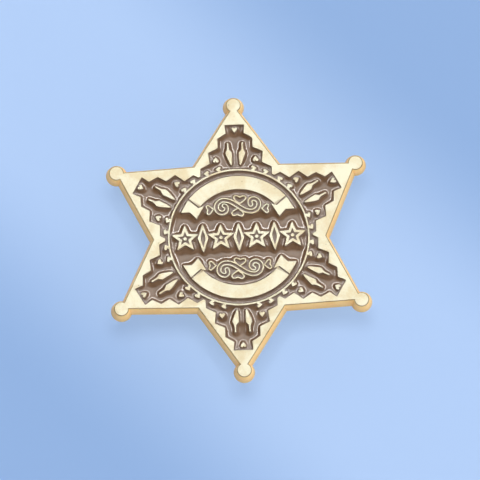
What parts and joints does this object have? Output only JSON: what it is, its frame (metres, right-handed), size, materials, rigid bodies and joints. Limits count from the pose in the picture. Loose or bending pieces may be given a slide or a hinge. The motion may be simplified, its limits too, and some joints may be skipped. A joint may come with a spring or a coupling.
{
  "type": "sheriff star badge",
  "caption": "Cast star badge with ball tips, a raised ring, banners, scrolls and hearts over dark enamel, and a brooch bar on its back.",
  "frame": {"origin": "on the plane that the brooch bar's feet stand on, under the middle of the star", "axes": "+Z is out of the badge's face, +Y runs from the centre to one star tip (the upper one in the picture), +X is to the right seen from the face"},
  "size_m": [0.0538, 0.0612, 0.0066],
  "materials": {
    "gold_plate": "polished gold plating on cast zinc alloy",
    "dark_enamel": "glossy dark brown soft enamel",
    "gold_pin": "satin gold plating on steel"
  },
  "bodies": {
    "root": {"star_plate": "gold_plate", "enamel_arms": "dark_enamel", "enamel_centre": "dark_enamel", "pin_bar": "gold_pin"}
  },
  "joints": []
}
